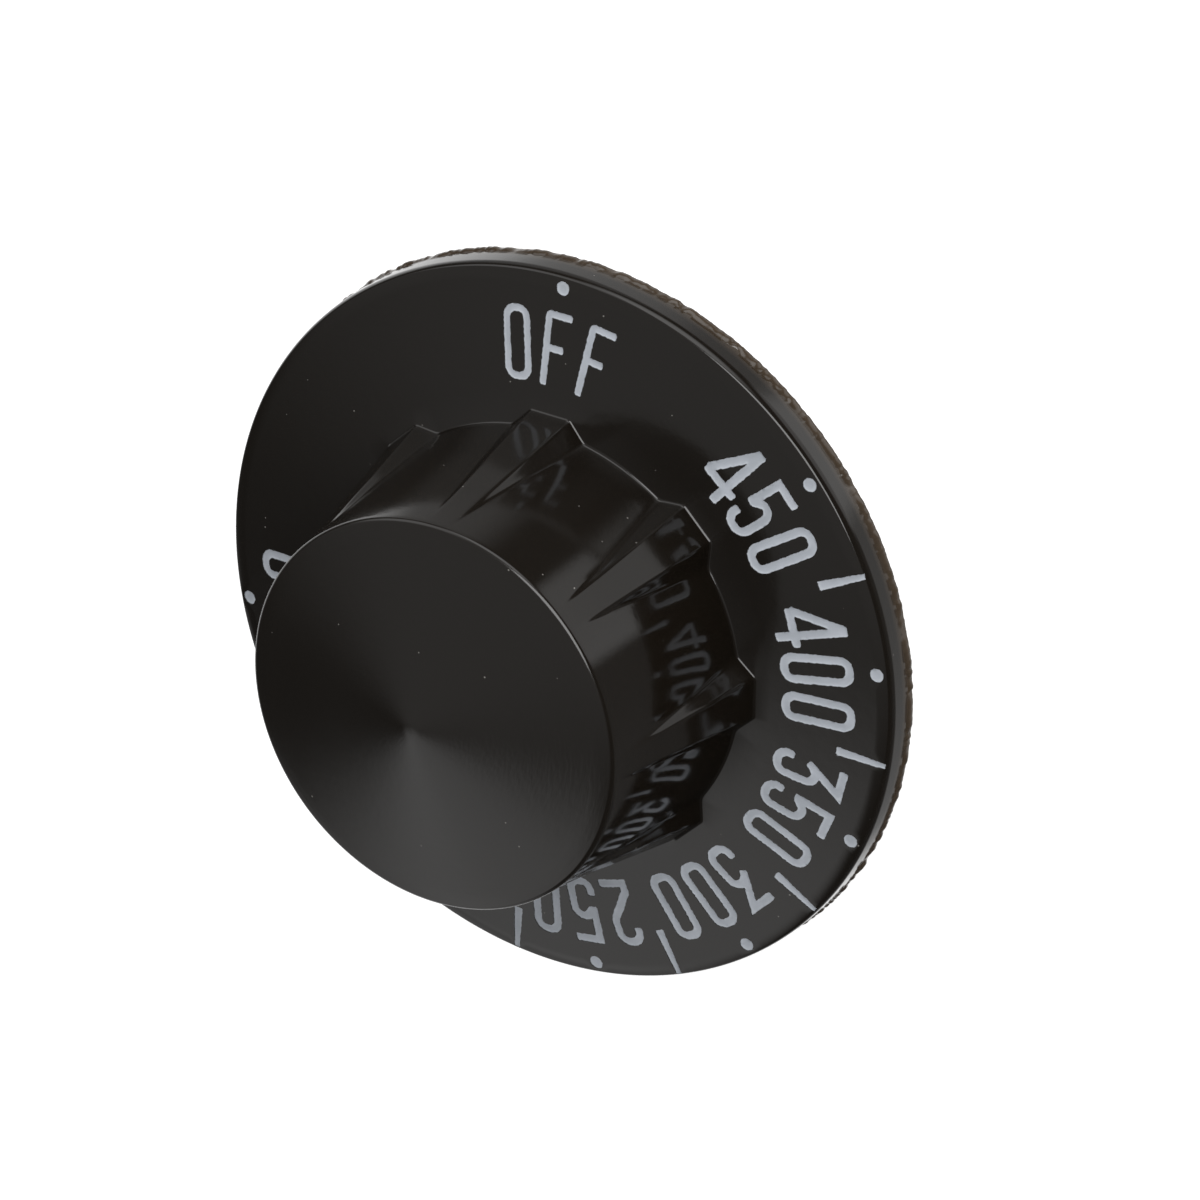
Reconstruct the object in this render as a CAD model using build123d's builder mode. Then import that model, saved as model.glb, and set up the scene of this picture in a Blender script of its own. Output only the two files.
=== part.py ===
from build123d import *
from math import atan, atan2, cos, degrees, radians, sin, tan
import os

# Temperature dial knob of a kitchen appliance. A dial skirt and a ribbed grip with a conical end are
# moulded as one hollow piece, with a hub inside for a D-shaped shaft and a flat spring in the hub.
# The knob lies on its back rim: +Z runs out along the shaft, +Y points to the OFF end of the scale.
# All sizes are millimetres and degrees.

# Dial skirt, with a thin lip left by the mould round its back edge
dial_diameter = 63.5
lip_width = 0.25
lip_thickness = 0.6
rim_height = 3.3
rim_edge_radius = 0.5
dial_rise = 1.8
rim_land_width = 2.4
recess_depth = 1.4

# Grip
grip_foot_diameter = 36.8
grip_end_diameter = 34.0
grip_end_height = 22.0
grip_wall = 2.8
end_rise = 3.2
end_edge_radius = 0.5
end_tip_radius = 5.0

# Grip ribs, full at the foot and run out to nothing before the end
rib_count = 8
rib_height = 1.35
rib_crest_width = 3.6
rib_tip_width = 2.2
rib_flank_angle = 43.0
rib_edge_radius = 0.3
rib_runout = 3.0

# Hub with its D-shaped socket, and the webs that tie it to the grip
shaft_diameter = 6.35
shaft_flat_depth = 0.8
shaft_clearance = 0.05
socket_depth = 14.0
socket_lead_in = 0.5
hub_diameter = 13.0
hub_setback = 1.0
web_count = 4
web_thickness = 1.8
web_setback = 3.0

# Flat spring that bears on the flat of the shaft
spring_width = 3.2
spring_thickness = 0.4
spring_seat_depth = 0.8
spring_preload = 0.25
spring_foot = 1.2
spring_flange = 1.4
spring_clearance = 0.1

# Outer form
lip_radius = dial_diameter / 2
rim_radius = lip_radius - lip_width
grip_foot_radius = grip_foot_diameter / 2
grip_end_radius = grip_end_diameter / 2
grip_foot_height = rim_height + dial_rise
end_angle = atan2(end_rise, grip_end_radius)
tip_height = grip_end_height + end_rise - end_tip_radius * (1 / cos(end_angle) - 1)
tip_blend_radius = end_tip_radius * sin(end_angle)
tip_blend_height = grip_end_height + end_rise - tip_blend_radius * tan(end_angle)

# Hollow back: a shallow recess behind the dial, and the grip cored out a wall below its outer faces
hollow_height = grip_end_height - grip_wall
hollow_mouth_radius = grip_foot_radius - grip_wall
hollow_end_radius = grip_end_radius - grip_wall
recess_radius = lip_radius - rim_land_width


def grip_radius(height):
    """Radius of the grip's tapered barrel between its ribs."""
    share = (height - grip_foot_height) / (grip_end_height - grip_foot_height)
    return grip_foot_radius + (grip_end_radius - grip_foot_radius) * share


def turned(radial):
    """Plane through the axis, with its own x along the given direction about Z."""
    x_axis = Vector(1, 0, 0).rotate(Axis.Z, radial)
    return Plane(origin=(0, 0, 0), x_dir=x_axis, z_dir=Vector(0, -1, 0).rotate(Axis.Z, radial))


# Rib: its crest sinks into the barrel at the tip, and its flanks keep one slope
rib_tip_height = grip_end_height - rib_runout
rib_base = (recess_depth + rim_height) / 2
rib_top = grip_end_height - grip_wall / 2


def rib_section(height):
    """Corners of the rib's section at a height, from its left root round to its right root."""
    share = (height - grip_foot_height) / (rib_tip_height - grip_foot_height)
    foot_crest = grip_foot_radius + rib_height
    crest = foot_crest + (grip_radius(rib_tip_height) - foot_crest) * share
    crest_half = (rib_crest_width + (rib_tip_width - rib_crest_width) * share) / 2
    root = grip_radius(height) - grip_wall / 2
    root_half = crest_half + (crest - root) * tan(radians(rib_flank_angle))
    return [(root, root_half), (crest, crest_half), (crest, -crest_half), (root, -root_half)]


with BuildPart() as rib:
    for section_height in (rib_base, rib_top):
        with BuildSketch(Plane.XY.offset(section_height)) as rib_outline:
            with BuildLine():
                Polyline(*rib_section(section_height), close=True)
            make_face()
            fillet(rib_outline.vertices().group_by(Axis.X)[-1], radius=rib_edge_radius)
    loft(ruled=True)

# Socket and spring seat, measured from the axis towards -Y
socket_radius = shaft_diameter / 2 + shaft_clearance
socket_flat = shaft_diameter / 2 - shaft_flat_depth + shaft_clearance
spring_seat = socket_flat + spring_seat_depth
spring_slot_width = spring_width + 2 * spring_clearance
socket_top = hub_setback + socket_depth

with BuildPart() as knob_body:
    # Shell of skirt and grip, turned about the shaft's axis
    with BuildSketch(Plane.XZ):
        with BuildLine():
            tip = TangentArc((0, tip_height), (tip_blend_radius, tip_blend_height), tangent=(1, 0))
            shell = FilletPolyline(
                tip @ 1,
                (grip_end_radius, grip_end_height),
                (grip_foot_radius, grip_foot_height),
                (rim_radius, rim_height),
                (rim_radius, lip_thickness),
                radius=[end_edge_radius, 0, rim_edge_radius],
            )
            Polyline(
                shell @ 1,
                (lip_radius, lip_thickness),
                (lip_radius, 0),
                (recess_radius, 0),
                (recess_radius, recess_depth),
                (hollow_mouth_radius, recess_depth),
                (hollow_end_radius, hollow_height),
                (0, hollow_height),
                tip @ 0,
            )
        make_face()
    revolve(axis=Axis.Z)

    # Finger ribs round the grip, one of them on the OFF line
    with PolarLocations(0, rib_count, start_angle=90):
        add(rib.part)

    # Hub and webs inside the hollow
    with BuildSketch(Plane.XY.offset(hub_setback)):
        Circle(hub_diameter / 2)
    extrude(amount=hollow_height + grip_wall / 2 - hub_setback)
    web_root = hub_diameter / 2 - socket_radius
    for web in range(web_count):
        with BuildSketch(turned((web + 0.5) * 360 / web_count)):
            with BuildLine():
                Polyline(
                    (hub_diameter / 2 - web_root / 2, web_setback + hub_setback),
                    (grip_radius(web_setback + hub_setback) - grip_wall / 2, web_setback + hub_setback),
                    (grip_end_radius - grip_wall / 2, hollow_height + grip_wall / 2),
                    (hub_diameter / 2 - web_root / 2, hollow_height + grip_wall / 2),
                    close=True,
                )
            make_face()
        extrude(amount=web_thickness / 2, both=True)

    # D-shaped socket with the slot behind its flat for the spring
    with BuildSketch(Plane.XY.offset(hub_setback)):
        Circle(socket_radius)
        with Locations((0, -socket_flat)):
            Rectangle(2 * socket_radius, socket_radius, align=(Align.CENTER, Align.MAX), mode=Mode.SUBTRACT)
        Rectangle(spring_slot_width, spring_seat, align=(Align.CENTER, Align.MAX))
    extrude(amount=socket_depth, mode=Mode.SUBTRACT)
    with BuildSketch(Plane.XY.offset(hub_setback)):
        Circle(socket_radius + socket_lead_in)
    extrude(amount=socket_lead_in, taper=45, mode=Mode.SUBTRACT)

    # Notch in the hub's end that takes the spring's flange
    with BuildSketch(Plane.XY.offset(hub_setback)):
        Rectangle(
            spring_slot_width,
            spring_seat + spring_flange + spring_clearance,
            align=(Align.CENTER, Align.MAX),
        )
    extrude(amount=spring_thickness, mode=Mode.SUBTRACT)
knob_body.part.label = "knob_body"

# Spring: flange in the notch, feet flat on the slot's floor, and a bow that stands proud of the flat
spring_start = hub_setback + spring_thickness
bow_start = spring_start + spring_foot
bow_length = socket_top - spring_clearance - spring_foot - bow_start
bow_height = spring_seat_depth - spring_thickness + spring_preload
bow_angle = 2 * atan(2 * bow_height / bow_length)
bow_radius = bow_length / (4 * sin(bow_angle))

with BuildPart() as shaft_spring:
    with BuildSketch(Plane.YZ):
        with BuildLine():
            Polyline(
                (-spring_seat - spring_flange, spring_start),
                (-spring_seat, spring_start),
                (-spring_seat, bow_start),
            )
            rise = JernArc((-spring_seat, bow_start), (0, 1), bow_radius, -degrees(bow_angle))
            crown = JernArc(rise @ 1, rise % 1, bow_radius, 2 * degrees(bow_angle))
            fall = JernArc(crown @ 1, crown % 1, bow_radius, -degrees(bow_angle))
            Line(fall @ 1, (-spring_seat, socket_top - spring_clearance))
            offset(amount=spring_thickness, side=Side.RIGHT)
        make_face()
    extrude(amount=spring_width / 2, both=True)
shaft_spring.part.label = "shaft_spring"

os.makedirs("parts", exist_ok=True)
export_step(knob_body.part, "parts/knob_body.step")
export_step(shaft_spring.part, "parts/shaft_spring.step")
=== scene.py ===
import math

import bpy
import numpy as np
from mathutils import Matrix, Vector, noise
from mathutils.geometry import delaunay_2d_cdt


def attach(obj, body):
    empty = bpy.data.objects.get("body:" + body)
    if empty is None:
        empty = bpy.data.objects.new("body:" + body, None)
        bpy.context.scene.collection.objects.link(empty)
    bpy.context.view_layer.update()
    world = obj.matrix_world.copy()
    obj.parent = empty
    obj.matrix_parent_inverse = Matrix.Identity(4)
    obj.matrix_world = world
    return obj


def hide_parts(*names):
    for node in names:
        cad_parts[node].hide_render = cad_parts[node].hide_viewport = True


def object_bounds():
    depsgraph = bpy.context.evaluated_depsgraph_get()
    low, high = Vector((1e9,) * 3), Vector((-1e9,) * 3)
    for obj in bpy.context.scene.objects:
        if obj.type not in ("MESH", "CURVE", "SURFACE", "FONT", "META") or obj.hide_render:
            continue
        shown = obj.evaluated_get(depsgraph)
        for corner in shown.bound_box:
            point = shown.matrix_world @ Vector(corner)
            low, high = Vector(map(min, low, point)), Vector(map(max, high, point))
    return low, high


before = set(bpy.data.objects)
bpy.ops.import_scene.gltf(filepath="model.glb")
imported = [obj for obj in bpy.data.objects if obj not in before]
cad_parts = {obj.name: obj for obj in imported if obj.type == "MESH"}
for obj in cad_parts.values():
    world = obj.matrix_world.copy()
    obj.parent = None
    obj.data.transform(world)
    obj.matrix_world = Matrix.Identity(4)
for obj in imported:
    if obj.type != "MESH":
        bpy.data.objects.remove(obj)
cad_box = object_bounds()

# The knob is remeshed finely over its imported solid. Sizes are millimetres in the frame of the solid:
# +Z out along the shaft, +Y to OFF, z = 0 on the back rim. Angles round the dial run clockwise from
# OFF, as the user sees it. Materials, lights and the floor are in metres.
MM = 0.001

# Dial skirt
LIP_RADIUS = cad_box[1].x / MM
LIP_WIDTH = 0.25
RIM_RADIUS = LIP_RADIUS - LIP_WIDTH
RIM_HEIGHT = 3.3
RIM_EDGE_REACH = 0.32
RIM_EDGE_DROP = 0.8
BAND_HEIGHTS = (1.6, 1.2)
DIAL_RISE = 1.8
RECESS_RADIUS = 29.35
RECESS_DEPTH = 1.4

# Ragged lip left by the mould: its outline as shares of its width and height, from its root round to
# the back, and its unevenness as layers of noise (bumps to a radian, share, place in the noise)
LIP_TOP = 0.75
LIP_TOP_WANDER = 0.3
LIP_CLEARANCE = 0.01
LIP_OUTLINE = ((0.0, 1.0), (0.45, 0.86), (0.9, 0.62), (1.0, 0.36), (0.85, 0.12), (0.6, 0.0))
RAGGED_LAYERS = ((18, 0.4, 0.0), (42, 0.6, 7.3), (84, 0.6, 3.1))
RAGGED_MIDDLE = 0.55
WIDTH_SEED = 0.0
HEIGHT_SEED = 20.0

# Grip
FOOT_RADIUS = 18.4
FOOT_HEIGHT = RIM_HEIGHT + DIAL_RISE
FOOT_FILLET = 0.2
END_RADIUS = 17.0
END_HEIGHT = 22.0
END_RISE = 3.2
END_EDGE = 0.3
END_SLOPE = math.atan2(END_RISE, END_RADIUS)
TIP_RADIUS = 5.0
TIP_CENTRE = END_HEIGHT + END_RISE - TIP_RADIUS / math.cos(END_SLOPE)
HOLLOW_TOP = 19.2
HOLLOW_WALL = 2.8

# Ribs
RIB_COUNT = 8
RIB_HEIGHT = 1.35
RIB_CREST = 3.6
RIB_TIP = 2.2
RIB_FLANK = math.tan(math.radians(43.0))
RIB_TIP_HEIGHT = 19.0
RIB_EDGE = 0.2
RIB_ROOT = 0.26

# Rounded edge of the dial: the dial's mesh takes it in rings as far as a turn, the rim's mesh the rest
DIAL_SLOPE = DIAL_RISE / (RIM_RADIUS - FOOT_RADIUS)
EDGE_START = RIM_RADIUS - RIM_EDGE_REACH
FACE_TURN = math.radians(53)
FACE_END = EDGE_START + RIM_EDGE_REACH * math.sin(FACE_TURN)
RING_TURNS = np.linspace(0.1, 0.85, 5) * FACE_TURN
EDGE_RINGS = [EDGE_START + RIM_EDGE_REACH * math.sin(turn) for turn in RING_TURNS]

# Fineness of the meshes: rows over each form, columns round it, and the spacing of loose points
TIP_ROWS = 4
END_ROWS = 10
END_EDGE_ROWS = 7
BARREL_ROWS = 44
FOOT_ROWS = 6
RIM_EDGE_ROWS = 8
RIM_COLUMNS = 1080
RING_COLUMNS = 720
HALF_SECTOR_CELLS = (4, 6, 5, 6, 9)
EDGE_CLUSTER = math.radians(0.7)
CLUSTER_SHARE = 0.4
LEAST_FLANK = math.radians(1.0)
ARC_STEP = 0.2
LEAST_ARC_POINTS = 4
MITRE_LIMIT = 0.5
DOT_CORNERS = 24
FILLER_STEP = 0.9
FILLER_FROM_GRIP = 1.4
FILLER_FROM_EDGE = 0.4
SHARP_ANGLE = 35

# Tolerances for welding points and for picking the hollow's faces out of the solid
PLAN_WELD = 1e-6
WELD_DIGITS = 3
TOUCH = 1e-3
PLANE_MARGIN = 0.01
HOLLOW_MARGIN = 0.3

# Scale: angle of each dot and of the middle of its word
SCALE = (
    ("OFF", 0.0, 0.0),
    ("450", 50.0, 49.4),
    ("400", 81.5, 81.4),
    ("350", 111.5, 111.4),
    ("300", 141.3, 141.6),
    ("250", 171.0, 171.0),
    ("200", 200.1, 199.8),
    ("150", 229.1, 228.4),
    ("100", 258.2, 256.9),
)
LETTER_PITCH = 8.45
LETTER_BASE = 22.05
LETTER_HEIGHT = 6.4
STROKE = 0.78
OFF_STROKE = 0.66
STROKE_END = 0.14
DOT_RING = 30.4
DOT_RADIUS = 0.6
TICK_START = 27.05
TICK_END = 31.32
TICK_START_WIDTH = 0.84
TICK_END_WIDTH = 0.5
TICK_BEVEL = 0.1
ENGRAVING = 0.3
PAINT_EDGE_LEVEL = 0.1
PAINT_LEVEL = 0.16
EDGE_STEP = 0.11
EDGE_WANDER = 0.06
EDGE_NOISE_RATE = 4.5
EDGE_SEED = 1

# Photographer's view: where the lens points and from where, and how far the picture is turned
AIM = (8.2, 7.68, 10.05)
VIEW_AZIMUTH = 135.53
VIEW_ELEVATION = 49.26
VIEW_ROLL = 126.18
VIEW_DISTANCE = 718.7
LENS = 270.0
SENSOR = 36.0


def around(radius, angle, height):
    """Points at a radius, an angle clockwise from OFF and a height."""
    radius, angle, height = np.broadcast_arrays(radius, angle, height)
    return np.stack([radius * np.sin(angle), radius * np.cos(angle), height], axis=-1)


def smooth_max(a, b, blend):
    """The larger value, with the change from one to the other rounded over a blend."""
    return np.maximum(a, b) + np.maximum(blend - np.abs(a - b), 0) ** 2 / (4 * blend)


def smooth_min(a, b, blend):
    """The smaller value, rounded in the same way."""
    return -smooth_max(-a, -b, blend)


def bend(start, corner, end, steps):
    """Near-circular arc from start to end, tangent to the lines that meet at corner."""
    weight = math.cos(math.pi / 4)
    rows = []
    for t in np.linspace(0, 1, steps + 1):
        a, b, c = (1 - t) ** 2, 2 * weight * t * (1 - t), t**2
        rows.append((a * start + b * corner + c * end) / (a + b + c))
    return rows


class Shell:
    """Points and faces of one mesh, gathered in millimetres."""

    def __init__(self):
        self.points = []
        self.faces = []

    def loop(self, points):
        """Adds points and returns their numbers."""
        start = len(self.points)
        self.points.extend(tuple(p) for p in points)
        return list(range(start, len(self.points)))

    def strip(self, upper, lower):
        """Quads between two closed loops of the same count."""
        for i in range(len(upper)):
            j = (i + 1) % len(upper)
            self.faces.append((upper[i], upper[j], lower[j], lower[i]))

    def build(self, name, material):
        """The piece in Blender, in metres, with smooth shading up to the sharp angle."""
        mesh = bpy.data.meshes.new(name)
        mesh.from_pydata([Vector(p) * MM for p in self.points], [], self.faces)
        mesh.update()
        mesh.shade_smooth()
        mesh.set_sharp_from_angle(angle=math.radians(SHARP_ANGLE))
        mesh.materials.append(material)
        piece = bpy.data.objects.new(name, mesh)
        bpy.context.collection.objects.link(piece)
        return piece


# Forms of the outside


def barrel_radius(height):
    """Radius of the tapered barrel between its ribs."""
    return FOOT_RADIUS + (END_RADIUS - FOOT_RADIUS) * (height - FOOT_HEIGHT) / (END_HEIGHT - FOOT_HEIGHT)


def rib_at(height):
    """Distance of a rib's crest from the axis, and half the crest's width."""
    share = (height - FOOT_HEIGHT) / (RIB_TIP_HEIGHT - FOOT_HEIGHT)
    foot_crest = FOOT_RADIUS + RIB_HEIGHT
    crest = foot_crest + (barrel_radius(RIB_TIP_HEIGHT) - foot_crest) * share
    return crest, (RIB_CREST + (RIB_TIP - RIB_CREST) * share) / 2


def flank_edges(height):
    """Angles from a rib's middle to its crest's edge and to where its flank meets the barrel."""
    crest, half = rib_at(min(height, RIB_TIP_HEIGHT))
    reach = (half + crest * RIB_FLANK) / (barrel_radius(height) * math.hypot(1, RIB_FLANK))
    crest_edge = math.atan2(half, crest)
    root = math.asin(min(reach, 1)) - math.atan(RIB_FLANK)
    return crest_edge, max(root, crest_edge + LEAST_FLANK)


def grip_columns(height):
    """Angles of the grip's grid at a height: close together along the edges of the ribs."""
    edge, root = flank_edges(height)
    near = min(EDGE_CLUSTER, (root - edge) * CLUSTER_SHARE)
    half_sector = math.pi / RIB_COUNT
    stops = (0, edge - near, edge + near, root - near, root + near, half_sector)
    stretches = zip(stops, stops[1:], HALF_SECTOR_CELLS)
    half = np.concatenate([np.linspace(a, b, n, endpoint=False) for a, b, n in stretches])
    sector = np.concatenate([half, [half_sector], 2 * half_sector - half[:0:-1]])
    return np.concatenate([sector + 2 * half_sector * k for k in range(RIB_COUNT)])


def grip_radius(angle, height):
    """Radius of the ribbed barrel."""
    sector = 2 * math.pi / RIB_COUNT
    off_rib = np.abs((np.asarray(angle) + sector / 2) % sector - sector / 2)
    crest, half = rib_at(height)
    top = crest / np.cos(off_rib)
    flank = (half + crest * RIB_FLANK) / (np.sin(off_rib) + RIB_FLANK * np.cos(off_rib))
    return smooth_max(barrel_radius(height), smooth_min(top, flank, RIB_EDGE), RIB_ROOT)


def end_height(radius):
    """Height of the grip's conical end."""
    return END_HEIGHT + END_RISE * (1 - radius / END_RADIUS)


def face_height(radius):
    """Height of the dial's front: a shallow cone that rounds over at the rim."""
    radius = np.asarray(radius, float)
    beyond = np.clip((radius - EDGE_START) / RIM_EDGE_REACH, 0, 1)
    return RIM_HEIGHT + (RIM_RADIUS - radius) * DIAL_SLOPE - RIM_EDGE_DROP * (1 - np.sqrt(1 - beyond**2))


def end_rows():
    """Rows of points over the grip's conical end, from its rounded tip to its rounded edge."""
    columns = grip_columns(END_HEIGHT)
    rows = []
    for lean in np.linspace(0, END_SLOPE, TIP_ROWS + 1)[1:]:
        rows.append(around(TIP_RADIUS * math.sin(lean), columns, TIP_CENTRE + TIP_RADIUS * math.cos(lean)))
    edge = END_RADIUS - END_EDGE
    for radius in np.linspace(TIP_RADIUS * math.sin(END_SLOPE), edge, END_ROWS + 2)[1:-1]:
        rows.append(around(radius, columns, end_height(radius)))
    lower = END_HEIGHT - END_EDGE
    below = grip_columns(lower)
    return rows + bend(
        around(edge, columns, end_height(edge)),
        around(END_RADIUS, columns, END_HEIGHT),
        around(grip_radius(below, lower), below, lower),
        END_EDGE_ROWS,
    )


def barrel_rows():
    """Rows of points down the ribbed barrel, between its rounded ends."""
    rows = []
    for height in np.linspace(END_HEIGHT - END_EDGE, FOOT_HEIGHT + FOOT_FILLET, BARREL_ROWS + 2)[1:-1]:
        columns = grip_columns(height)
        rows.append(around(grip_radius(columns, height), columns, height))
    return rows


def foot_rows():
    """Rows of points over the fillet between the barrel and the dial."""
    columns = grip_columns(FOOT_HEIGHT)
    corner_radius = grip_radius(columns, FOOT_HEIGHT)
    corner_height = face_height(corner_radius)
    start = FOOT_HEIGHT + FOOT_FILLET
    above = grip_columns(start)
    return bend(
        around(grip_radius(above, start), above, corner_height + FOOT_FILLET),
        around(corner_radius, columns, corner_height),
        around(corner_radius + FOOT_FILLET, columns, face_height(corner_radius + FOOT_FILLET)),
        FOOT_ROWS,
    )


def add_grip(shell):
    """Conical end, ribbed barrel and foot fillet. Returns the loop where the fillet ends on the dial."""
    apex = shell.loop([(0, 0, TIP_CENTRE + TIP_RADIUS)])[0]
    loops = [shell.loop(row) for row in end_rows() + barrel_rows() + foot_rows()]
    first = loops[0]
    for i in range(len(first)):
        shell.faces.append((apex, first[(i + 1) % len(first)], first[i]))
    for upper, lower in zip(loops, loops[1:]):
        shell.strip(upper, lower)
    return loops[-1]


def ragged(angle, seed):
    """Uneven value between 0 and 1 round the rim."""
    value = 0
    for rate, share, shift in RAGGED_LAYERS:
        place = Vector((math.sin(angle) * rate, math.cos(angle) * rate, seed + shift))
        value += share * noise.noise(place)
    return min(max(RAGGED_MIDDLE + value, 0), 1)


def add_rim(shell):
    """Rounded front edge, band and ragged lip. Returns the loops where it meets the dial and the back."""
    angles = np.linspace(0, 2 * math.pi, RIM_COLUMNS, endpoint=False)
    rows = []
    for turn in np.linspace(FACE_TURN, math.pi / 2, RIM_EDGE_ROWS):
        radius = EDGE_START + RIM_EDGE_REACH * math.sin(turn)
        rows.append(around(radius, angles, face_height(radius)))
    for height in BAND_HEIGHTS:
        rows.append(around(RIM_RADIUS, angles, height))
    proud = np.array([ragged(a, WIDTH_SEED) for a in angles]) * (LIP_WIDTH - LIP_CLEARANCE)
    top = LIP_TOP + LIP_TOP_WANDER * (np.array([ragged(a, HEIGHT_SEED) for a in angles]) - 0.5)
    for out, level in LIP_OUTLINE:
        rows.append(around(RIM_RADIUS + out * proud, angles, level * top))
    loops = [shell.loop(row) for row in rows]
    for upper, lower in zip(loops, loops[1:]):
        shell.strip(upper, lower)
    return loops[0], loops[-1]


# Characters of the scale, as the centre lines of an engraver's strokes. x runs along the dial and y
# out from the base line.


def corner_path(*corners):
    """Path through corners given as (x, y) or (x, y, radius), with the round ones drawn as arcs."""
    points = [np.array(corners[0][:2], float)]
    for before, here, after in zip(corners, corners[1:], corners[2:]):
        corner = np.array(here[:2], float)
        if len(here) == 2:
            points.append(corner)
            continue
        inward = np.array(before[:2], float) - corner
        outward = np.array(after[:2], float) - corner
        inward /= np.linalg.norm(inward)
        outward /= np.linalg.norm(outward)
        half_turn = math.acos(float(np.clip(inward @ outward, -1, 1))) / 2
        reach = here[2] / math.tan(half_turn)
        halfway = (inward + outward) / np.linalg.norm(inward + outward)
        middle = corner + halfway * here[2] / math.sin(half_turn)
        begin = corner + inward * reach - middle
        finish = corner + outward * reach - middle
        start_angle = math.atan2(begin[1], begin[0])
        sweep = (math.atan2(finish[1], finish[0]) - start_angle + math.pi) % (2 * math.pi) - math.pi
        for t in np.linspace(0, 1, max(LEAST_ARC_POINTS, int(abs(sweep) / ARC_STEP))):
            turn = start_angle + t * sweep
            points.append(middle + here[2] * np.array([math.cos(turn), math.sin(turn)]))
    points.append(np.array(corners[-1][:2], float))
    return points


def offset_path(points, distance, closed):
    """The path moved sideways to its left."""
    moved = []
    count = len(points)
    for i, point in enumerate(points):
        before = points[i - 1] if closed or i > 0 else None
        after = points[(i + 1) % count] if closed or i < count - 1 else None
        sides = []
        for a, b in ((before, point), (point, after)):
            if a is not None and b is not None:
                course = (b - a) / np.linalg.norm(b - a)
                sides.append(np.array([-course[1], course[0]]))
        side = sum(sides) / np.linalg.norm(sum(sides))
        moved.append(point + side * distance / max(float(side @ sides[0]), MITRE_LIMIT))
    return moved


def stroke_loops(points, width, closed=False):
    """Outline of a stroke with slightly softened ends, or the two outlines of a closed one."""
    left = offset_path(points, width / 2, closed)
    right = offset_path(points, -width / 2, closed)
    if closed:
        return [left, right]
    first = (points[1] - points[0]) / np.linalg.norm(points[1] - points[0])
    last = (points[-1] - points[-2]) / np.linalg.norm(points[-1] - points[-2])
    start_side = (left[0] - points[0]) * (1 - 2 * STROKE_END / width)
    end_side = (left[-1] - points[-1]) * (1 - 2 * STROKE_END / width)
    outline = [left[0] + first * STROKE_END, *left[1:-1], left[-1] - last * STROKE_END]
    outline += [points[-1] + end_side, points[-1] - end_side]
    outline += [right[-1] - last * STROKE_END, *right[-2:0:-1], right[0] + first * STROKE_END]
    return [outline + [points[0] - start_side, points[0] + start_side]]


LOW = STROKE / 2
HIGH = LETTER_HEIGHT - STROKE / 2
BOWL = ((0.95, 3.8, 0.85), (0.95, LOW, 0.85), (-0.95, LOW, 0.8), (-0.95, 1.72))
OVAL = ((0, HIGH), (-0.95, HIGH, 0.8), (-0.95, LOW, 0.8), (0.95, LOW, 0.8), (0.95, HIGH, 0.8), (0, HIGH))
CHARACTERS = {
    "0": [OVAL],
    "O": [OVAL],
    "1": [((-0.85, 5.0), (0.1, HIGH + 0.1), (0.1, 0.0))],
    "2": [
        ((-0.97, 4.62), (-0.97, HIGH, 0.95), (0.97, HIGH, 0.95), (0.97, 3.9, 1.4), (-0.95, 1.25, 0.5),
         (-0.95, LOW), (1.38, LOW)),
    ],
    "3": [((-1.4, HIGH), (1.02, HIGH), (-0.85, 2.95)), ((-0.55, 3.45), (0.0, 3.8, 0.3), *BOWL)],
    "4": [
        ((0.68, 0.0), (0.68, LETTER_HEIGHT)),
        ((0.6, LETTER_HEIGHT - 0.05), (-1.55, 1.72)),
        ((-1.72, 1.72), (1.72, 1.72)),
    ],
    "5": [((1.42, HIGH), (-0.92, HIGH), (-0.92, 2.75)), ((-0.92, 2.95), (-0.15, 3.8, 0.5), *BOWL)],
    "F": [((-1.0, 0.0), (-1.0, HIGH, 0.25), (1.2, HIGH)), ((-1.0, 3.2), (0.62, 3.2))],
}


def spine_points(points):
    """Points spaced along the middle of a stroke, clear of its ends."""
    spine = []
    for a, b in zip(points, points[1:]):
        steps = max(1, int(np.linalg.norm(b - a) / (2 * EDGE_STEP)))
        spine.extend(a + (b - a) * (k + 0.5) / steps for k in range(steps))
    return spine


def roughen(loop, seed):
    """The loop in short steps, each point a little off, as the edge of an engraved line is."""
    points = []
    for a, b in zip(loop, loop[1:] + loop[:1]):
        steps = max(1, int(np.linalg.norm(b - a) / EDGE_STEP))
        points.extend(a + (b - a) * k / steps for k in range(steps))
    moved = []
    for point in points:
        place = Vector((point[0] * EDGE_NOISE_RATE, point[1] * EDGE_NOISE_RATE, seed))
        shift = noise.noise_vector(place)
        moved.append(point + EDGE_WANDER * np.array([shift.x, shift.y]))
    return moved


def on_dial(loop, angle, base):
    """A loop of local points stood on the dial at an angle, with its base line at a radius."""
    out = np.array([math.sin(angle), math.cos(angle)])
    across = np.array([math.cos(angle), -math.sin(angle)])
    return [out * (base + p[1]) + across * p[0] for p in loop]


def engraved(loops, spine, angle, base, seed):
    """One engraved mark: its rough outlines on the plan of the dial, and points along its middle."""
    outlines = [on_dial(roughen(loop, seed), angle, base) for loop in loops]
    return {"loops": outlines, "spine": on_dial(spine, angle, base)}


def letter_marks(word, middle):
    """The strokes of a word of three characters."""
    width = OFF_STROKE if word == "OFF" else STROKE
    marks = []
    for place, letter in enumerate(word):
        angle = math.radians(middle + (place - 1) * LETTER_PITCH)
        for corners in CHARACTERS[letter]:
            closed = corners is OVAL
            path = corner_path(*corners)
            loops = stroke_loops(path[:-1] if closed else path, width, closed)
            marks.append(engraved(loops, spine_points(path), angle, LETTER_BASE, angle))
    return marks


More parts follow.
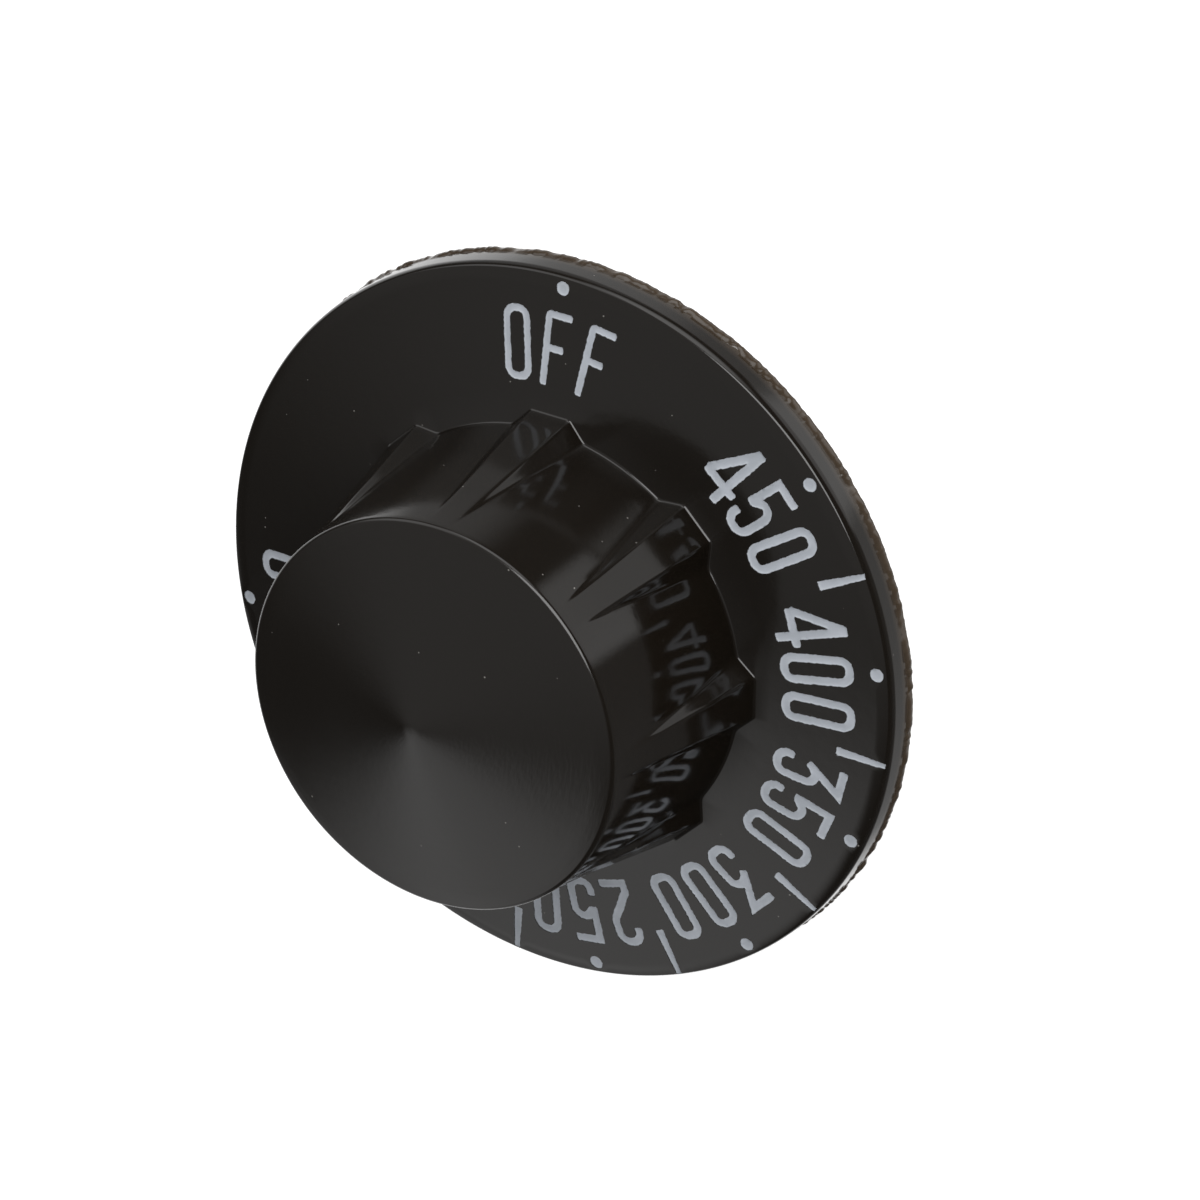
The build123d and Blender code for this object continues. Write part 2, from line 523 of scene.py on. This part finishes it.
def dot_mark(dot):
    """The dot at an angle in degrees."""
    turns = np.linspace(0, 2 * math.pi, DOT_CORNERS + 1)[:-1]
    ring = [DOT_RADIUS * np.array([math.cos(t), math.sin(t)]) for t in turns]
    return engraved([ring], [(0, 0)], math.radians(dot), DOT_RING, dot)


def tick_mark(before, after):
    """The tapered line halfway between two dots."""
    low, high = TICK_START_WIDTH / 2, TICK_END_WIDTH / 2
    length = TICK_END - TICK_START
    inner = low - TICK_BEVEL
    corners = [
        (-low, TICK_BEVEL), (-inner, 0), (inner, 0), (low, TICK_BEVEL), (high, length), (-high, length)
    ]
    bar = [np.array(c, float) for c in corners]
    spine = spine_points([np.array([0, low]), np.array([0, length - low])])
    return engraved([bar], spine, math.radians((before + after) / 2), TICK_START, before)


def scale_marks():
    """Every engraved mark of the scale, rough in the same way on every run."""
    noise.seed_set(EDGE_SEED)
    marks = []
    for word, dot, middle in SCALE:
        marks += letter_marks(word, middle)
        marks.append(dot_mark(dot))
    dots = [dot for _, dot, _ in SCALE[1:]]
    return marks + [tick_mark(before, after) for before, after in zip(dots, dots[1:])]


# Dial and back


def inside(points, loops):
    """Which of the points lie inside the loops, by the even-odd rule."""
    held = np.zeros(len(points), bool)
    for loop in loops:
        a = np.array(loop)
        b = np.roll(a, -1, axis=0)
        for (ax, ay), (bx, by) in zip(a, b):
            crosses = (ay > points[:, 1]) != (by > points[:, 1])
            if crosses.any():
                at = ax + (points[:, 1] - ay) * (bx - ax) / (by - ay)
                held ^= crosses & (points[:, 0] < at)
    return held


def mesh_plan(loops, extra):
    """Constrained triangles over loops and loose points of a plan, and where each input point went."""
    plan, edges = [], []
    for loop in loops:
        start = len(plan)
        plan.extend(Vector((float(p[0]), float(p[1]))) for p in loop)
        edges.extend((start + i, start + (i + 1) % len(loop)) for i in range(len(loop)))
    plan.extend(Vector((float(p[0]), float(p[1]))) for p in extra)
    points, _, triangles, sources, _, _ = delaunay_2d_cdt(plan, edges, [], 0, PLAN_WELD)
    went = {source: new for new, listed in enumerate(sources) for source in listed}
    return np.array([(p.x, p.y) for p in points]), np.array(triangles), went


def dial_filler(marks):
    """Loose points that keep the dial's triangles even: along the marks, and in rings over the dial."""
    points = [point for mark in marks for point in mark["spine"]]
    first = FOOT_RADIUS + RIB_HEIGHT + FILLER_FROM_GRIP
    for radius in np.arange(first, FACE_END - FILLER_FROM_EDGE, FILLER_STEP):
        count = int(2 * math.pi * radius / FILLER_STEP)
        points.extend(around(radius, np.arange(count) * 2 * math.pi / count, 0.0)[:, :2])
    return points


def cut_edges(triangles, kept, cut):
    """Edges where a kept triangle that is cut meets one that isn't, in the cut one's direction."""
    owners = {}
    for index in np.flatnonzero(kept):
        tri = [int(p) for p in triangles[index]]
        for edge in zip(tri, tri[1:] + tri[:1]):
            owners[edge] = index
    return [
        (a, b) for (a, b), index in owners.items()
        if cut[index] and (b, a) in owners and not cut[owners[(b, a)]]
    ]


def add_face(shell, paint, foot, rim):
    """Dial from the grip's foot to the rim, with its engraved scale and the paint in the engraving.

    Returns the paint's points along the edges of the marks.
    """
    marks = scale_marks()
    loops = [[shell.points[i][:2] for i in foot], [shell.points[i][:2] for i in rim]]
    turns = np.arange(RING_COLUMNS) * 2 * math.pi / RING_COLUMNS
    loops += [around(radius, turns, 0.0)[:, :2] for radius in EDGE_RINGS]
    loops += [loop for mark in marks for loop in mark["loops"]]
    plan, triangles, went = mesh_plan(loops, dial_filler(marks))
    middles = plan[triangles].mean(axis=1)
    kept = inside(middles, loops[1:2]) & ~inside(middles, loops[0:1])
    cut = np.zeros(len(triangles), bool)
    for mark in marks:
        cut |= inside(middles, mark["loops"])
    heights = face_height(np.hypot(plan[:, 0], plan[:, 1]))
    walls = cut_edges(triangles, kept, cut)
    margin = {point for wall in walls for point in wall}

    top = {went[k]: index for k, index in enumerate(list(foot) + list(rim))}
    floor, paint_top, paint_floor = {}, {}, {}

    def corner(store, owner, point, drop):
        if point not in store:
            at = (plan[point, 0], plan[point, 1], heights[point] - drop)
            store[point] = owner.loop([at])[0]
        return store[point]

    for index in np.flatnonzero(kept):
        tri = [int(p) for p in triangles[index]]
        if cut[index]:
            levels = [PAINT_EDGE_LEVEL if p in margin else PAINT_LEVEL for p in tri]
            shell.faces.append(tuple(corner(floor, shell, p, ENGRAVING) for p in tri))
            paint.faces.append(tuple(corner(paint_top, paint, p, drop) for p, drop in zip(tri, levels)))
            paint.faces.append(tuple(corner(paint_floor, paint, p, ENGRAVING) for p in reversed(tri)))
        else:
            shell.faces.append(tuple(corner(top, shell, p, 0) for p in tri))
    for a, b in walls:
        shell.faces.append((floor[b], floor[a], top[a], top[b]))
        paint.faces.append((paint_top[b], paint_top[a], paint_floor[a], paint_floor[b]))
    return [paint_top[point] for point in margin]


def add_back(shell, lip):
    """Back land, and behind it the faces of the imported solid's hollow: recess, hub, webs and socket."""
    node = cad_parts["knob_body"]
    places = [node.matrix_world @ v.co / MM for v in node.data.vertices]
    welded, rim = {}, {}

    def weld(index):
        place = places[index]
        key = tuple(round(c, WELD_DIGITS) for c in place)
        if key not in welded:
            welded[key] = shell.loop([place])[0]
            off_recess = abs(math.hypot(place.x, place.y) - RECESS_RADIUS)
            if abs(place.z) < TOUCH and off_recess < PLANE_MARGIN:
                rim[welded[key]] = math.atan2(place.x, place.y) % (2 * math.pi)
        return welded[key]

    for face in node.data.polygons:
        middle = sum((places[i] for i in face.vertices), Vector()) / len(face.vertices)
        radius = math.hypot(middle.x, middle.y)
        in_recess = middle.z < RECESS_DEPTH + PLANE_MARGIN
        limit = RECESS_RADIUS if in_recess else barrel_radius(middle.z) - HOLLOW_WALL + HOLLOW_MARGIN
        if radius <= limit + TOUCH and middle.z < HOLLOW_TOP + PLANE_MARGIN:
            corners = tuple(weld(i) for i in face.vertices)
            if len(set(corners)) == len(corners):
                shell.faces.append(corners)
    recess = sorted(rim, key=rim.get)
    loops = [[shell.points[i][:2] for i in lip], [shell.points[i][:2] for i in recess]]
    plan, triangles, went = mesh_plan(loops, [])
    known = {went[k]: index for k, index in enumerate(list(lip) + recess)}
    middles = plan[triangles].mean(axis=1)
    land = inside(middles, loops[:1]) & ~inside(middles, loops[1:])
    for triangle in triangles[land]:
        shell.faces.append(tuple(known[int(p)] for p in reversed(triangle)))


# Materials, with colours as linear red, green, blue and alpha

MOULDING_BLACK = (0.0068, 0.0051, 0.0035, 1)
# Brown of the lip the mould left, also used as painted light from the pale floor on the band above the lip
LIP_BROWN_AND_PAINTED_LIGHT = (0.05, 0.036, 0.024, 1)
DUST = (0.2, 0.19, 0.175, 1)
PALE_PAINT = (0.46, 0.49, 0.54, 1)
DULL_PAINT = (0.39, 0.42, 0.46, 1)
# Lighter paint along the raised edge of each mark: a painted highlight
PAINT_RIDGE_HIGHLIGHT = (0.55, 0.585, 0.63, 1)
DARK_STEEL = (0.5, 0.5, 0.51, 1)
BRIGHT_STEEL = (0.62, 0.62, 0.62, 1)
PAPER = (0.93, 0.93, 0.93, 1)
WHITE = (1, 1, 1, 1)

# Heights where the turned end's satin sets in, and where the moulding turns brown and lighter towards the
# back
# Below 0.5 mm it is the lip's own brown; its rise from 1.6 mm over the band is painted light from the floor
SATIN_START, SATIN_FULL = 0.0217, 0.0219
BROWN_AND_PAINTED_LIGHT_START, BROWN_AND_PAINTED_LIGHT_FULL = 0.0016, 0.0005

# Turning marks on the end: noise cells to a radian round it and to a metre out from its middle
STREAKS_ROUND = 10.0
STREAKS_OUT = 3400.0


class Nodes:
    """Short way to write a material's nodes."""

    def __init__(self, name):
        self.material = bpy.data.materials.new(name)
        self.material.use_nodes = True
        self.tree = self.material.node_tree
        self.shader = self.tree.nodes["Principled BSDF"]

    def add(self, kind, inputs=None, **settings):
        """A node with its settings, and its inputs linked or set."""
        node = self.tree.nodes.new(kind)
        for key, value in settings.items():
            setattr(node, key, value)
        for key, value in (inputs or {}).items():
            if isinstance(value, bpy.types.NodeSocket):
                self.tree.links.new(value, node.inputs[key])
            else:
                node.inputs[key].default_value = value
        return node

    def link(self, source, target):
        """Feeds one of the shader's inputs."""
        self.tree.links.new(source, self.shader.inputs[target])

    def ramp(self, value, low, high, start=0.0, end=1.0):
        """The value's way from low to high, as a run from start to end."""
        node = self.add("ShaderNodeMapRange", {"Value": value, "From Min": low, "From Max": high})
        node.inputs["To Min"].default_value = start
        node.inputs["To Max"].default_value = end
        return node.outputs["Result"]

    def times(self, a, b):
        """Product of two values."""
        return self.add("ShaderNodeMath", {0: a, 1: b}, operation="MULTIPLY").outputs[0]

    def blend(self, factor, first, second):
        """Mix of two colours, which such a node takes in sockets 6 and 7 and gives out in 2."""
        node = self.add("ShaderNodeMix", {"Factor": factor, 6: first, 7: second}, data_type="RGBA")
        return node.outputs[2]


def phenolic():
    """Glossy brownish black moulding with a fine skin, a satin turned end, a brown lip with painted light
    from the floor on the band above it, and a little dust.
    """
    m = Nodes("phenolic_moulding")
    place = m.add("ShaderNodeTexCoord").outputs["Object"]
    axes = m.add("ShaderNodeSeparateXYZ", {0: place})
    on_end = m.ramp(axes.outputs["Z"], SATIN_START, SATIN_FULL)
    # Share of brown towards the back: the lip's own colour, with painted light from the floor on the band
    # above it
    low = m.ramp(axes.outputs["Z"], BROWN_AND_PAINTED_LIGHT_START, BROWN_AND_PAINTED_LIGHT_FULL)

    cells = m.add("ShaderNodeTexVoronoi", {"Vector": place, "Scale": 1000.0})
    lot = m.add("ShaderNodeSeparateColor", {0: cells.outputs["Color"]})
    grain_size = m.ramp(cells.outputs["Distance"], 0.09, 0.05)
    speck = m.times(grain_size, m.ramp(lot.outputs["Red"], 0.9, 0.905))
    tone_and_painted_light = m.blend(low, MOULDING_BLACK, LIP_BROWN_AND_PAINTED_LIGHT)
    m.link(m.blend(speck, tone_and_painted_light, DUST), "Base Color")

    cloud = m.add("ShaderNodeTexNoise", {"Vector": place, "Scale": 90.0, "Detail": 2.0})
    glossy = m.ramp(cloud.outputs["Fac"], 0.3, 0.7, 0.08, 0.13)
    satin = m.ramp(cloud.outputs["Fac"], 0.3, 0.7, 0.13, 0.17)
    shine = m.add("ShaderNodeMix", {"Factor": on_end, 2: glossy, 3: satin})
    m.link(shine.outputs[0], "Roughness")

    skin = m.add("ShaderNodeTexNoise", {"Vector": place, "Scale": 900.0, "Detail": 3.0, "Roughness": 0.6})
    fine = m.add("ShaderNodeBump", {"Height": skin.outputs["Fac"], "Strength": 0.5, "Distance": 0.00001})
    turn = m.add("ShaderNodeMath", {0: axes.outputs["X"], 1: axes.outputs["Y"]}, operation="ARCTAN2")
    flat = m.add("ShaderNodeCombineXYZ", {"X": axes.outputs["X"], "Y": axes.outputs["Y"]})
    out = m.add("ShaderNodeVectorMath", {0: flat.outputs[0]}, operation="LENGTH")
    around_end = m.times(turn.outputs[0], STREAKS_ROUND)
    out_from_tip = m.times(out.outputs["Value"], STREAKS_OUT)
    rolled = m.add("ShaderNodeCombineXYZ", {"X": around_end, "Y": out_from_tip})
    streaks = m.add("ShaderNodeTexNoise", {"Vector": rolled.outputs[0], "Scale": 1.0, "Detail": 2.0})
    marks = m.times(streaks.outputs["Fac"], on_end)
    turned = m.add(
        "ShaderNodeBump",
        {"Height": marks, "Strength": 1.0, "Distance": 0.000006, "Normal": fine.outputs["Normal"]},
    )
    m.link(turned.outputs["Normal"], "Normal")
    m.shader.inputs["IOR"].default_value = 1.57
    return m.material


def mark_paint():
    """Matt pale grey paint, a little uneven and dirty, with a painted highlight along the raised edge of
    each mark.
    """
    m = Nodes("mark_paint")
    place = m.add("ShaderNodeTexCoord").outputs["Object"]
    grain = m.add("ShaderNodeTexNoise", {"Vector": place, "Scale": 2200.0, "Detail": 4.0, "Roughness": 0.65})
    patch = m.add("ShaderNodeTexNoise", {"Vector": place, "Scale": 420.0, "Detail": 2.0})
    tint = m.blend(m.ramp(patch.outputs["Fac"], 0.35, 0.7), PALE_PAINT, DULL_PAINT)
    # Painted highlight: the paint is lighter where it meets the edge of its mark
    margin = m.add("ShaderNodeAttribute", attribute_name="margin")
    ridge_highlight = m.ramp(margin.outputs["Fac"], 0.35, 1.0, 0.0, 0.8)
    m.link(m.blend(ridge_highlight, tint, PAINT_RIDGE_HIGHLIGHT), "Base Color")
    m.link(m.ramp(grain.outputs["Fac"], 0.3, 0.7, 0.55, 0.75), "Roughness")
    bump = m.add("ShaderNodeBump", {"Height": grain.outputs["Fac"], "Strength": 0.35, "Distance": 0.00008})
    m.link(bump.outputs["Normal"], "Normal")
    return m.material


def spring_steel():
    """Bright rolled strip with fine lines along it."""
    m = Nodes("spring_steel")
    place = m.add("ShaderNodeTexCoord").outputs["Object"]
    stretch = m.add("ShaderNodeMapping", {"Vector": place, "Scale": (9000.0, 1500.0, 150.0)})
    lines = m.add("ShaderNodeTexNoise", {"Vector": stretch.outputs[0], "Scale": 1.0, "Detail": 3.0})
    m.link(m.blend(lines.outputs["Fac"], DARK_STEEL, BRIGHT_STEEL), "Base Color")
    m.link(m.ramp(lines.outputs["Fac"], 0.3, 0.7, 0.22, 0.4), "Roughness")
    bump = m.add("ShaderNodeBump", {"Height": lines.outputs["Fac"], "Strength": 0.1, "Distance": 0.0001})
    m.link(bump.outputs["Normal"], "Normal")
    m.shader.inputs["Metallic"].default_value = 1.0
    return m.material


def floor_paper():
    """Plain pale paper, lit a little from within so that it stays white in the picture."""
    m = Nodes("floor_paper")
    place = m.add("ShaderNodeTexCoord").outputs["Object"]
    grain = m.add("ShaderNodeTexNoise", {"Vector": place, "Scale": 400.0, "Detail": 3.0})
    m.link(m.ramp(grain.outputs["Fac"], 0.3, 0.7, 0.8, 0.9), "Roughness")
    m.shader.inputs["Base Color"].default_value = PAPER
    m.shader.inputs["Specular IOR Level"].default_value = 0.1
    m.shader.inputs["Emission Color"].default_value = WHITE
    m.shader.inputs["Emission Strength"].default_value = 0.65
    return m.material


# Build

moulding = phenolic()
body_shell, paint_shell = Shell(), Shell()
foot_loop = add_grip(body_shell)
rim_loop, lip_loop = add_rim(body_shell)
paint_margin = add_face(body_shell, paint_shell, foot_loop, rim_loop)
add_back(body_shell, lip_loop)

body = body_shell.build("knob_moulding", moulding)
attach(body, "root")
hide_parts("knob_body")

paint = paint_shell.build("scale_paint", mark_paint())
margin_values = np.zeros(len(paint.data.vertices))
margin_values[paint_margin] = 1.0
paint.data.attributes.new("margin", "FLOAT", "POINT").data.foreach_set("value", margin_values)
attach(paint, "root")

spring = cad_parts["shaft_spring"]
spring.data.materials.clear()
spring.data.materials.append(spring_steel())

# Stage, light and camera

FLOOR_REACH = 4.0
FLOOR_LEVEL = -0.0001

# The studio's bright areas over a dim room. Each is a cone of directions in the photographer's right,
# up and toward: its middle, the angles from there where it fades and where it is gone, and its level.
ROOM_LEVEL = 0.06
BRIGHT_AREAS = {
    "right_screen": ((0.83, 0.55, 0.02), 15, 21, 0.66),
    "overhead": ((0.05, 0.88, 0.47), 10, 30, 1.6),
    "upper_left": ((-0.68, 0.65, 0.3), 12, 30, 0.9),
    "lower_left": ((-0.67, -0.735, 0.03), 4, 21.5, 0.74),
    "backdrop": ((-0.35, 0.0, -0.94), 30, 52, 0.9),
    "far_right": ((0.93, 0.05, -0.36), 15, 40, 0.08),
    "front_left": ((-0.55, 0.15, 0.82), 42, 72, 0.28),
    "paper_by_rim": ((0.527, 0.385, -0.758), 41.5, 48, 0.34),
    "paper_below": ((-0.45, -0.72, -0.52), 12, 30, 0.5),
    "paper_above": ((0.0, 0.85, -0.52), 12, 30, 0.3),
}


def panel(name, direction, distance, size, radiance):
    """Soft round light that faces the knob from a direction, as bright as the given radiance."""
    light = bpy.data.lights.new(name, "AREA")
    light.shape = "DISK"
    light.size = size
    light.energy = radiance * math.pi**2 * size**2 / 4
    lamp = bpy.data.objects.new(name, light)
    toward = Vector(direction).normalized()
    lamp.location = toward * distance
    lamp.rotation_mode = "QUATERNION"
    lamp.rotation_quaternion = toward.to_track_quat("Z", "Y")
    bpy.context.collection.objects.link(lamp)


def view_axes():
    """Right, up and towards the viewer, as the photographer saw them."""
    azimuth, elevation = math.radians(VIEW_AZIMUTH), math.radians(VIEW_ELEVATION)
    level = math.cos(elevation)
    toward = Vector((math.sin(azimuth) * level, -math.cos(azimuth) * level, math.sin(elevation)))
    plain = toward.to_track_quat("Z", "Y").to_matrix()
    return plain @ Matrix.Rotation(math.radians(-VIEW_ROLL), 3, "Z")


def surroundings():
    """Dim room with the bright areas added up over it."""
    world = bpy.data.worlds.new("studio")
    world.use_nodes = True
    tree = world.node_tree
    toward = tree.nodes.new("ShaderNodeTexCoord").outputs["Generated"]
    total = None
    for direction, full, gone, level in BRIGHT_AREAS.values():
        facing = tree.nodes.new("ShaderNodeVectorMath")
        facing.operation = "DOT_PRODUCT"
        tree.links.new(toward, facing.inputs[0])
        facing.inputs[1].default_value = view_axes() @ Vector(direction).normalized()
        area = tree.nodes.new("ShaderNodeMapRange")
        area.interpolation_type = "SMOOTHSTEP"
        tree.links.new(facing.outputs["Value"], area.inputs["Value"])
        area.inputs["From Min"].default_value = math.cos(math.radians(gone))
        area.inputs["From Max"].default_value = math.cos(math.radians(full))
        area.inputs["To Max"].default_value = level
        join = tree.nodes.new("ShaderNodeMath")
        tree.links.new(area.outputs["Result"], join.inputs[0])
        join.inputs[1].default_value = ROOM_LEVEL
        if total is not None:
            tree.links.new(total, join.inputs[1])
        total = join.outputs[0]
    backdrop = tree.nodes["Background"]
    backdrop.inputs["Color"].default_value = WHITE
    tree.links.new(total, backdrop.inputs["Strength"])
    bpy.context.scene.world = world


def stage():
    """Pale floor just under the knob, the room and one soft key light."""
    floor_mesh = bpy.data.meshes.new("floor")
    sides = ((-1, -1), (1, -1), (1, 1), (-1, 1))
    corners = [(x * FLOOR_REACH, y * FLOOR_REACH, FLOOR_LEVEL) for x, y in sides]
    floor_mesh.from_pydata(corners, [], [(0, 1, 2, 3)])
    floor_mesh.materials.append(floor_paper())
    floor = bpy.data.objects.new("floor", floor_mesh)
    bpy.context.collection.objects.link(floor)
    floor.visible_glossy = False
    surroundings()
    panel("key", direction=(0.47, 0.55, 0.69), distance=0.9, size=0.8, radiance=4.2)
    bpy.context.scene.view_settings.view_transform = "Standard"


def camera():
    """Long lens at the photographer's place."""
    data = bpy.data.cameras.new("camera")
    data.lens = LENS
    data.sensor_width = SENSOR
    data.clip_start, data.clip_end = 0.05, 20.0
    rig = bpy.data.objects.new("camera", data)
    axes = view_axes()
    rig.rotation_mode = "QUATERNION"
    rig.rotation_quaternion = axes.to_quaternion()
    rig.location = (Vector(AIM) + axes.col[2] * VIEW_DISTANCE) * MM
    bpy.context.collection.objects.link(rig)
    bpy.context.scene.camera = rig


stage()
camera()
